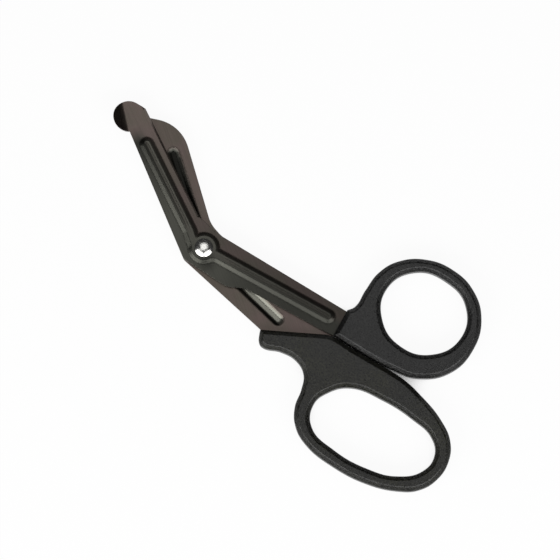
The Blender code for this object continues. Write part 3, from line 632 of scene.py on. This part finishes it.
def mitre(line):
    """Unit-distance offset of each point to the left of the way round, mitred at corners."""
    run = np.roll(line, -1, axis=0) - line
    run = run / np.linalg.norm(run, axis=1, keepdims=True)
    normal = np.stack([-run[:, 1], run[:, 0]], axis=1)
    before = np.roll(normal, 1, axis=0)
    return (normal + before) / (1 + np.sum(normal * before, axis=1, keepdims=True))


def inset_ring(line, width):
    """The line moved inwards; points that would cross over lie between their free neighbours."""
    moved = line + mitre(line) * width
    run = np.roll(line, -1, axis=0) - line
    off = moved[:, None] - line[None]
    share = np.clip(np.sum(off * run, axis=2) / np.sum(run * run, axis=1), 0, 1)
    nearest = np.linalg.norm(off - share[..., None] * run, axis=2).min(axis=1)
    place = np.arange(len(line))
    free = nearest > width - ROUNDING
    free_x, free_y = moved[free].T
    x = np.interp(place, place[free], free_x, period=len(line))
    y = np.interp(place, place[free], free_y, period=len(line))
    return np.stack([x, y], axis=1)


narrower = np.linalg.norm(inset_ring(test_loop, 2.0), axis=1).max()
print("that loop moved in by 2 mm:", narrower.round(2))

# %% [markdown]
# The section of a moulding has a broad bevel between two roundings at each rim, so the flat face
# ends in one thin bright line. At half height a fine ridge shows where the two halves of the mould
# met.

# %% Section of a moulding
LOOP_HALF = 4.5
RIM_RADIUS = 1.0
BEVEL_LENGTH, BEVEL_ANGLE = 1.4, math.radians(42)
PARTING = 0.05
RIDGE = [(PARTING, 0.1), (0.01, 0.04)]


def loop_section():
    """(inset, height) down one rim: an arc to the bevel's angle, the bevel, an arc to upright."""
    first, second = np.linspace(0, BEVEL_ANGLE, 6), np.linspace(BEVEL_ANGLE, np.pi / 2, 7)
    out = np.concatenate([
        RIM_RADIUS * np.sin(first), RIM_RADIUS * np.sin(second) + BEVEL_LENGTH * np.cos(BEVEL_ANGLE),
    ])
    down = np.concatenate([
        RIM_RADIUS * (1 - np.cos(first)),
        RIM_RADIUS * (1 - np.cos(second)) + BEVEL_LENGTH * np.sin(BEVEL_ANGLE),
    ])
    upper = np.stack([PARTING + out[-1] - out, LOOP_HALF - down], axis=1)
    upper = np.concatenate([upper, RIDGE])
    lower = upper[::-1] * [1, -1]
    return np.concatenate([upper, lower])


print("points of the section:", len(loop_section()))

# %% [markdown]
# Both flat faces of a loop are a ring with an odd shape. One big face with a hole isn't possible
# in a mesh, so they are filled with triangles. The triangulation is told which edges it must
# keep, and only the triangles between both lines stay.

# %% Filling the faces
SAME_POINT = 1e-7


def signed_area(line):
    """Half the sum of the cross products of following points, positive if turning left."""
    x, y = line.T
    return 0.5 * np.sum(x * np.roll(y, -1) - np.roll(x, -1) * y)


def flat_fill(outer, inner):
    """Triangles between two closed lines, from a constrained triangulation of the plane."""
    lines = [outer, inner[::-1]]
    starts = [0, len(outer)]
    loops = [list(range(s, s + len(line))) for s, line in zip(starts, lines)]
    plan = [Vector(p) for p in np.concatenate(lines)]
    made = delaunay_2d_cdt(plan, [], loops, 0, SAME_POINT)
    inside = [0 in source and 1 not in source for source in made[5]]
    corners = np.array([v[:] for v in made[0]])
    return corners, np.array([f for f, keep in zip(made[2], inside) if keep])


print("area of the test loop in square mm:", round(float(signed_area(test_loop))))

# %% [markdown]
# A loop is then four parts in one mesh: the outer wall and the wall of the finger hole, each the
# section carried round a line, and the fills above and below. Cutting the hole with a boolean
# would do, but it leaves uneven rims, on which the highlight breaks up.

# %% Moulded loop
def moulded_loop(name, outer, inner, level):
    """Both walls are the section carried round a line, and both faces are flat fills."""
    outer = outer if signed_area(outer) > 0 else outer[::-1]
    inner = inner if signed_area(inner) < 0 else inner[::-1]
    section = loop_section()
    points, faces, total = [], [], 0
    for line in (outer, inner):
        plan = np.stack([inset_ring(line, inset) for inset in section[:, 0]])
        height = np.broadcast_to(level + section[:, 1][:, None, None], (*plan.shape[:2], 1))
        points.append(np.concatenate([plan, height], axis=-1).reshape(-1, 3))
        faces += (grid_faces(*plan.shape[:2]) + total).tolist()
        total += plan.shape[0] * plan.shape[1]
    rims = [inset_ring(line, section[0, 0]) for line in (outer, inner)]
    plan, triangles = flat_fill(*rims)
    for side in (1, -1):
        height = np.full((len(plan), 1), level + side * LOOP_HALF)
        points.append(np.concatenate([plan, height], axis=1))
        faces += (triangles[:, ::side] + total).tolist()
        total += len(plan)
    return finish_skin(name, np.concatenate(points), faces, crease=40)


print("loops are", 2 * LOOP_HALF, "mm thick")

# %% [markdown]
# The thumb loop is nearly round and small. It is moulded over the tongue of the front blade, so
# its first two knots are the mouth where the steel comes out.

# %% Thumb loop
MIDDLE = LOOP_HALF
THUMB_MOUTH = 59.5
THUMB_OUTLINE = [
    (60.2, 14.5), (59.9, 22.0), (60.2, 30.5), (63.9, 38.4), (72.7, 45.3), (83.0, 47.7),
    (93.6, 45.8), (102.5, 38.7), (106.7, 27.5), (104.7, 15.0), (95.5, 5.8), (86.0, 3.1),
]
THUMB_HOLE = [
    (100.2, 27.5), (94.7, 39.2), (83.0, 42.5), (71.7, 38.8),
    (66.3, 27.5), (71.9, 16.4), (83.0, 12.2), (94.4, 16.1),
]
thumb_mouth = [on_arm(TANG, THUMB_MOUTH, -5.2), on_arm(TANG, THUMB_MOUTH, 5.9)]
thumb = moulded_loop(
    "thumb_handle_skin", smooth_loop([*thumb_mouth, *THUMB_OUTLINE], corners=2),
    smooth_loop(THUMB_HOLE), MIDDLE,
)

# %% [markdown]
# The finger loop is long, for two or three fingers. It has a beak that rests against the hand and
# a long back that runs close along the thumb loop when the shears are closed.

# %% Finger loop
FINGER_OUTLINE = [
    (61.0, 0.6), (69.0, 1.0), (78.0, 1.7), (86.0, 2.4), (93.0, 2.4), (99.1, 1.5),
    (112.1, -2.1), (119.6, -6.7), (123.5, -13.4), (123.8, -21.6), (120.3, -29.0),
    (114.1, -33.8), (103.0, -38.3), (88.0, -40.4), (75.0, -39.4), (67.7, -35.8),
    (63.4, -30.0), (61.6, -23.1), (58.9, -17.8), (53.5, -15.2), (47.1, -15.8),
    (40.0, -18.4), (38.3, -17.8), (36.2, -14.7),
]
FINGER_HOLE = [
    (117.7, -14.6), (112.7, -9.6), (103.0, -8.1), (89.6, -8.6), (76.6, -11.9), (70.7, -18.2),
    (68.8, -25.0), (73.1, -32.5), (85.1, -34.9), (99.9, -33.4), (110.1, -29.6), (117.4, -22.1),
]
finger_mouth = [mouth_point(-8.2), mouth_point(7.9)]
finger = moulded_loop(
    "finger_handle_skin", smooth_loop([*finger_mouth, *FINGER_OUTLINE], corners=2),
    smooth_loop(FINGER_HOLE), MIDDLE,
)

# %% [markdown]
# The rivet was turned and set with a punch that left a dimple in its domed head. From its top to
# its tail it is one profile of radius and height: a round cap, a small round at the rim, a
# straight shank and a flat tail with a rounded edge.

# %% Profile of the rivet
HEAD_LEVEL, HEAD_TOP, HEAD_RADIUS = 7.45, 8.85, 3.55
SHANK_RADIUS, TAIL_RADIUS, TAIL_TOP = 2.0, 3.4, 1.55
DOME_RADIUS, DIMPLE_RADIUS, DIMPLE_DEPTH = 6.6, 1.1, 0.06
RIM_ROUND, HEAD_BREAK, TAIL_BREAK, TAIL_ROUND = 0.2, 0.1, 0.05, 0.6
RIM_POINTS = [(-0.06, -0.1), (0, -0.25)]


def rivet_profile():
    """Round cap less a cosine dimple, a small round at its rim, straight shank, rounded tail."""
    dome = np.linspace(0, HEAD_RADIUS - RIM_ROUND, 30)
    dome_height = HEAD_TOP - DOME_RADIUS + np.sqrt(DOME_RADIUS ** 2 - dome ** 2)
    dimple = np.clip(dome / DIMPLE_RADIUS, 0, 1)
    dome_height = dome_height - DIMPLE_DEPTH * (1 + np.cos(np.pi * dimple)) / 2
    under = [(HEAD_RADIUS + out, dome_height[-1] + up) for out, up in RIM_POINTS]
    under += [(HEAD_RADIUS, HEAD_LEVEL + HEAD_BREAK), (HEAD_RADIUS - HEAD_BREAK, HEAD_LEVEL)]
    shank = [(SHANK_RADIUS, HEAD_LEVEL), (SHANK_RADIUS, TAIL_TOP)]
    shank += [(TAIL_RADIUS - TAIL_BREAK, TAIL_TOP), (TAIL_RADIUS, TAIL_TOP - TAIL_BREAK)]
    turns = np.radians(np.linspace(0, -90, 9))
    tail = TAIL_RADIUS - TAIL_ROUND + TAIL_ROUND * np.cos(turns)
    tail_height = TAIL_ROUND + TAIL_ROUND * np.sin(turns)
    return np.concatenate([
        np.stack([dome, dome_height], axis=1), under, shank,
        np.stack([tail, tail_height], axis=1), [(0, 0)],
    ])


print("head and tail in mm:", rivet_profile()[0].round(2), rivet_profile()[-1].round(2))

# %% [markdown]
# Spinning that profile round the pivot gives the rivet. A Screw modifier does the same, but the
# formula is one line of cosines and sines. Both ends lie on the axis, where the welding turns a
# ring of points into one.

# %% Rivet
def spun(name, profile, count=96):
    """Surface of revolution: x and y are the radius times the cosine and sine of the turn."""
    turns = np.linspace(0, 2 * np.pi, count, endpoint=False)
    radius, height = profile.T
    x, y = np.outer(radius, np.cos(turns)), np.outer(radius, np.sin(turns))
    z = np.broadcast_to(height[:, None], x.shape)
    points = np.stack([x, y, z], axis=-1)
    return finish_skin(name, points, grid_faces(*points.shape[:2]))


rivet = spun("pivot_rivet_skin", rivet_profile())

# %% [markdown]
# Each skin now takes the place of its frame node and turns with the same half of the shears.

# %% Ride on the frame
PIECES = {
    "front_blade": (front, "front_half", "blade_coating"),
    "thumb_handle": (thumb, "front_half", "handle_plastic"),
    "rear_blade": (rear, "rear_half", "blade_coating"),
    "finger_handle": (finger, "rear_half", "handle_plastic"),
    "pivot_rivet": (rivet, "rear_half", "rivet_plating"),
}
for solid, (piece, body, slot_name) in PIECES.items():
    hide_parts(solid)
    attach(piece, body)

# %% [markdown]
# Colours are written as on a paint card, as hex values. Light adds up in linear numbers, so one
# function turns a hex value into those.

# %% Colours
def linear(code):
    """Linear RGBA of an sRGB hex: (v / 12.92) in the darks, ((v + 0.055) / 1.055) ** 2.4 above."""
    values = np.array([int(code[i:i + 2], 16) for i in (1, 3, 5)]) / 255
    dark, light = values / 12.92, ((values + 0.055) / 1.055) ** 2.4
    return (*np.where(values <= 0.04045, dark, light), 1.0)


print("middle grey in linear light:", round(float(linear("#808080")[0]), 3))

# %% [markdown]
# A material is a small net of nodes. One function adds a node of any kind, with its settings, its
# numbers and its links. A second one starts a material and gives the place on the piece in
# millimetres, so that each pattern can be given its real size.

# %% Nodes
def node(tree, kind, settings=None, stops=(), **inputs):
    """Node of a kind; inputs are numbers, colours or other nodes' sockets, by name or number."""
    made = tree.nodes.new("ShaderNode" + kind)
    for key, value in (settings or {}).items():
        setattr(made, key, value)
    for element, (position, colour) in zip(made.color_ramp.elements if stops else (), stops):
        element.position, element.color = position, linear(colour)
    for key, value in inputs.items():
        socket = made.inputs[int(key[1:])] if key[1:].isdigit() else made.inputs[key.replace("_", " ")]
        if isinstance(value, bpy.types.NodeSocket):
            tree.links.new(value, socket)
        else:
            socket.default_value = value
    return made


def new_finish(name):
    """Material with its Principled shader, and a socket that gives the place in millimetres."""
    material = bpy.data.materials.new(name)
    material.use_nodes = True
    tree = material.node_tree
    shader = tree.nodes["Principled BSDF"]
    place = node(tree, "TexCoord").outputs["Object"]
    scale = node(tree, "Mapping", Vector=place, Scale=(1 / MM,) * 3).outputs["Vector"]
    return material, tree, shader, scale


print("one unit of a pattern is 1 mm, or", MM, "m")

# %% [markdown]
# Coated steel: the stamping is dipped in a thin dark coating that keeps adhesive from sticking. It
# dries satin, so reflections are soft. The eye sees a brown cast that wanders slowly, faint
# streaks where the steel's rolling lines show through, and edges rubbed a little brighter. An
# image could be laid on it, but noise at real sizes stays crisp however close we look.

# %% Coated steel
STREAK_LONG, STREAK_APART = 20.0, 0.45
CLOUD_SIZE, PEEL_SIZE = 9.0, 0.4


def coated_steel(name, angle, seed):
    """Satin dark coating over steel: soft reflections, brown-grey, streaked along the blade."""
    material, tree, shader, place = new_finish(name)
    turned = node(tree, "Mapping", Vector=place, Rotation=(0, 0, -math.radians(angle)))
    stretched = node(
        tree, "Mapping", Vector=turned.outputs["Vector"], Location=(seed, 0, 0),
        Scale=(1 / STREAK_LONG, 1 / STREAK_APART, 1),
    )
    streaks = node(tree, "TexNoise", Vector=stretched.outputs["Vector"], Scale=1.0, Detail=4)
    streaks = streaks.outputs["Fac"]
    clouds = node(tree, "TexNoise", Vector=place, Scale=1 / CLOUD_SIZE, Detail=3, Roughness=0.5)
    # The tone attribute holds painted light and shade, which scales the coating's colour.
    tone_and_painted_light = node(tree, "Attribute", {"attribute_name": "tone_and_painted_light"}).outputs["Fac"]
    cool = node(tree, "Attribute", {"attribute_name": "cool"}).outputs["Fac"]
    brown = node(
        tree, "ValToRGB", stops=[(0.35, "#6D605C"), (0.65, "#655E56")], Fac=clouds.outputs["Fac"],
    )
    cast = node(
        tree, "Mix", {"data_type": "RGBA"}, _0=cool, _6=brown.outputs["Color"], _7=linear("#6C6C64"),
    )
    toned = node(tree, "VectorMath", {"operation": "SCALE"}, _0=cast.outputs[2], Scale=tone_and_painted_light)
    streak_tint = node(tree, "ValToRGB", stops=[(0.35, "#D8D8D8"), (0.65, "#FFFFFF")], Fac=streaks)
    body = node(
        tree, "Mix", {"data_type": "RGBA", "blend_type": "MULTIPLY"}, _0=0.5,
        _6=toned.outputs["Vector"], _7=streak_tint.outputs["Color"],
    )
    worn = worn_edge(tree, place, body.outputs[2])
    tree.links.new(worn, shader.inputs["Base Color"])
    rough = node(tree, "MapRange", Value=streaks, To_Min=0.3, To_Max=0.39).outputs["Result"]
    tree.links.new(rough, shader.inputs["Roughness"])
    shader.inputs["Metallic"].default_value = 0.9
    # The real orange peel is about 0.1 mm wide; it is drawn at 0.4 mm, as coarse as it needs to show.
    peel = node(tree, "TexNoise", Vector=place, Scale=1 / PEEL_SIZE, Detail=2).outputs["Fac"]
    grain = node(tree, "Bump", Strength=0.25, Distance=0.02 * MM, Height=peel).outputs["Normal"]
    lines = node(tree, "Bump", Strength=0.3, Distance=0.01 * MM, Height=streaks, Normal=grain)
    tree.links.new(lines.outputs["Normal"], shader.inputs["Normal"])
    return material


def worn_edge(tree, place, colour):
    """Colour mixed towards bare steel within an uneven reach of the cut edge."""
    from_edge = node(tree, "Attribute", {"attribute_name": "from_edge"}).outputs["Fac"]
    rub = node(tree, "TexNoise", Vector=place, Scale=0.7, Detail=3).outputs["Fac"]
    reach = node(tree, "MapRange", Value=rub, To_Min=0.02, To_Max=0.26).outputs["Result"]
    near = node(tree, "MapRange", Value=from_edge, From_Max=reach, To_Min=0.12, To_Max=0.0)
    worn = node(
        tree, "Mix", {"data_type": "RGBA"}, _0=near.outputs["Result"], _6=colour, _7=linear("#9A9692"),
    )
    return worn.outputs[2]


front.data.materials.append(coated_steel("coated_steel_front", BLADE, 0.0))
rear.data.materials.append(coated_steel("coated_steel_rear", REAR_BLADE, 40.0))
print("streaks in mm:", STREAK_LONG, "long,", STREAK_APART, "apart")

# %% [markdown]
# Moulded plastic: black polypropylene out of a mould with a spark-eroded texture. The eye sees a
# dark satin face with a fine grain, and rounded rims that catch the light in a soft thin line. One
# even roughness would look like paint, so the grain changes colour, roughness and height.

# %% Moulded plastic
GRAIN_SIZE = 0.65


def moulded_plastic(name, seed, dark, light):
    """Satin black plastic: its grain scatters the light, its rims give a thin soft highlight."""
    material, tree, shader, place = new_finish(name)
    shifted = node(tree, "Mapping", Vector=place, Location=(seed, seed, 0)).outputs["Vector"]
    clouds = node(tree, "TexNoise", Vector=shifted, Scale=0.08, Detail=2).outputs["Fac"]
    # The real grain is about 0.1 mm wide; it is drawn at 0.65 mm, as coarse as it needs to show.
    grain = node(tree, "TexNoise", Vector=shifted, Scale=1 / GRAIN_SIZE, Detail=3, Roughness=0.6)
    grain = grain.outputs["Fac"]
    tint = node(tree, "ValToRGB", stops=[(0.35, light), (0.65, dark)], Fac=clouds).outputs["Color"]
    speck = node(tree, "ValToRGB", stops=[(0.4, "#404040"), (0.6, "#FFFFFF")], Fac=grain)
    body = node(
        tree, "Mix", {"data_type": "RGBA", "blend_type": "MULTIPLY"}, _0=1.0,
        _6=tint, _7=speck.outputs["Color"],
    )
    tree.links.new(body.outputs[2], shader.inputs["Base Color"])
    rough = node(tree, "MapRange", Value=grain, To_Min=0.22, To_Max=0.38).outputs["Result"]
    tree.links.new(rough, shader.inputs["Roughness"])
    shader.inputs["IOR"].default_value = 1.49
    bump = node(tree, "Bump", Strength=1.0, Distance=0.18 * MM, Height=grain)
    tree.links.new(bump.outputs["Normal"], shader.inputs["Normal"])
    return material


thumb.data.materials.append(moulded_plastic("moulded_plastic_thumb", 0.0, "#1A1A1A", "#1F1F1E"))
finger.data.materials.append(moulded_plastic("moulded_plastic_finger", 17.0, "#1D1D1A", "#242419"))
print("grain of the plastic in mm:", GRAIN_SIZE)

# %% [markdown]
# Nickel plate: the rivet is bright and nearly smooth. The eye sees sharp white patches of the
# lamps beside dark ones, broken by fine turning rings and by small dents from the punch. Without
# these it would mirror each lamp as one clean spot, as only a polished ball does.

# %% Nickel-plated rivet
RING_SIZE, DENT_SIZE = 0.6, 1.1


def nickel_plate(name):
    """Bright plating over turned steel: sharp reflections, broken by rings and small dents."""
    material, tree, shader, place = new_finish(name)
    rings = node(
        tree, "TexWave", {"wave_type": "RINGS", "rings_direction": "Z"},
        Vector=place, Scale=1 / RING_SIZE, Distortion=0.6, Detail=2,
    )
    dents = node(tree, "TexNoise", Vector=place, Scale=1 / DENT_SIZE, Detail=2).outputs["Fac"]
    tint = node(tree, "ValToRGB", stops=[(0.35, "#DEDDD9"), (0.65, "#EFEEEA")], Fac=dents)
    tree.links.new(tint.outputs["Color"], shader.inputs["Base Color"])
    rough = node(tree, "MapRange", Value=dents, To_Min=0.12, To_Max=0.3).outputs["Result"]
    tree.links.new(rough, shader.inputs["Roughness"])
    shader.inputs["Metallic"].default_value = 1.0
    ring_bump = node(tree, "Bump", Strength=0.2, Distance=0.02 * MM, Height=rings.outputs["Fac"])
    dent_bump = node(
        tree, "Bump", Strength=0.5, Distance=0.15 * MM, Height=dents,
        Normal=ring_bump.outputs["Normal"],
    )
    tree.links.new(dent_bump.outputs["Normal"], shader.inputs["Normal"])
    return material


rivet.data.materials.append(nickel_plate("nickel_plate"))
print("dents of the rivet in mm:", DENT_SIZE)

# %% [markdown]
# The floor is a large sheet of white paper. The camera and the metal see most of its white as a
# plain glow, as in a catalogue picture, and the rest is real light, which keeps the object's
# shadow. Deep between the loops hardly any light arrives, so the glow is taken away where little
# of the sky is open.

# %% Floor
PICTURE_TURN = math.radians(35)
PICTURE_RIGHT = np.array([math.cos(PICTURE_TURN), math.sin(PICTURE_TURN), 0])
PICTURE_UP = np.array([-math.sin(PICTURE_TURN), math.cos(PICTURE_TURN), 0])
UPWARDS = np.array([0.0, 0.0, 1.0])
AIM = np.array([30.9, 6.65, 6.3]) * MM
FLOOR_HALF = 3.0
GLOW, SKY_REACH = 0.94, 15 * MM
SKY_SHUT, SKY_OPEN = 0.08, 0.4


def white_paper():
    """White paper that glows by its open sky for rays from the camera, metal and glass."""
    material = bpy.data.materials.new("white_paper")
    material.use_nodes = True
    tree = material.node_tree
    tree.nodes.clear()
    rays = node(tree, "LightPath").outputs
    larger = {"operation": "MAXIMUM"}
    seen = node(tree, "Math", larger, _0=rays["Is Camera Ray"], _1=rays["Is Glossy Ray"])
    seen = node(tree, "Math", larger, _0=seen.outputs[0], _1=rays["Is Transmission Ray"])
    open_sky = node(tree, "AmbientOcclusion", Distance=SKY_REACH).outputs["AO"]
    lit = node(tree, "MapRange", Value=open_sky, From_Min=SKY_SHUT, From_Max=SKY_OPEN, To_Max=GLOW)
    share = node(
        tree, "Math", {"operation": "MULTIPLY"}, _0=seen.outputs[0], _1=lit.outputs["Result"],
    )
    paper = node(tree, "BsdfDiffuse", Color=linear("#F8F8F8")).outputs[0]
    glow = node(tree, "Emission", Color=linear("#FFFFFF"), Strength=1.0).outputs[0]
    both = node(tree, "MixShader", _0=share.outputs[0], _1=paper, _2=glow)
    node(tree, "OutputMaterial", Surface=both.outputs[0])
    return material


sheet = bpy.data.meshes.new("floor")
corners = np.array([(-1, -1, 0), (1, -1, 0), (1, 1, 0), (-1, 1, 0)]) * FLOOR_HALF
sheet.from_pydata(corners.tolist(), [], [(0, 1, 2, 3)])
sheet.materials.append(white_paper())
floor = bpy.data.objects.new("floor", sheet)
bpy.context.scene.collection.objects.link(floor)
print("floor in m:", 2 * FLOOR_HALF, "wide")

# %% [markdown]
# Three soft lamps light the shears. The one overhead is mirrored by everything that lies flat. Two
# from below the picture, left and right, draw one flank of each rib and the rims of the loops.
# Nothing shines low from the picture's top, so the other flank stays black. A lamp could be given
# its watts, but those change with its size. Here it is described by how bright it looks, and its
# power follows from that and from its area.

# %% Lamps
def soft_lamp(name, bearing, lean, distance, size, radiance):
    """Lamp of width and height facing the shears: its power is radiance times pi times its area."""
    data = bpy.data.lights.new(name, "AREA")
    data.shape = "RECTANGLE"
    data.size, data.size_y = size
    data.energy = radiance * math.pi * size[0] * size[1]
    lamp = bpy.data.objects.new(name, data)
    turn, lean = math.radians(bearing), math.radians(lean)
    aside = math.cos(turn) * PICTURE_RIGHT + math.sin(turn) * PICTURE_UP
    direction = Vector(math.cos(lean) * UPWARDS + math.sin(lean) * aside)
    lamp.location = Vector(AIM) + direction * distance
    lamp.rotation_euler = direction.to_track_quat("Z", "Y").to_euler()
    lamp.visible_camera = False
    bpy.context.scene.collection.objects.link(lamp)
    return lamp


overhead = soft_lamp("overhead", 98, 13, 1.2, (0.9, 0.9), 1.16)
left_key = soft_lamp("left_key", -132, 52, 1.1, (1.15, 0.65), 3.5)
right_key = soft_lamp("right_key", -55, 50, 1.1, (1.0, 0.65), 3.6)
world = bpy.data.worlds.new("studio")
world.use_nodes = True
world.node_tree.nodes["Background"].inputs["Color"].default_value = linear("#FFFFFF")
world.node_tree.nodes["Background"].inputs["Strength"].default_value = 0.03
bpy.context.scene.world = world
print("lamp power in W:", [round(lamp.data.energy, 2) for lamp in (overhead, left_key, right_key)])

# %% [markdown]
# The camera looks almost straight down from far away with a long lens, as for a catalogue, so
# nothing seems to lean. It is tilted by a few degrees, which shows a hint of the lower walls.

# %% Camera
TILT = math.radians(5)
DISTANCE = 2.5
SENSOR = 36.0
PICTURE_WIDTH = 214.1 * MM
lens = bpy.data.cameras.new("camera")
lens.sensor_width = SENSOR
lens.lens = SENSOR * DISTANCE / PICTURE_WIDTH
camera = bpy.data.objects.new("camera", lens)
backwards = math.cos(TILT) * UPWARDS - math.sin(TILT) * PICTURE_UP
axes = Matrix((PICTURE_RIGHT, np.cross(backwards, PICTURE_RIGHT), backwards)).transposed()
camera.matrix_world = Matrix.Translation(AIM + backwards * DISTANCE) @ axes.to_4x4()
bpy.context.scene.collection.objects.link(camera)
bpy.context.scene.camera = camera
bpy.context.scene.view_settings.view_transform = "Standard"
print("lens in mm:", round(lens.lens, 1))
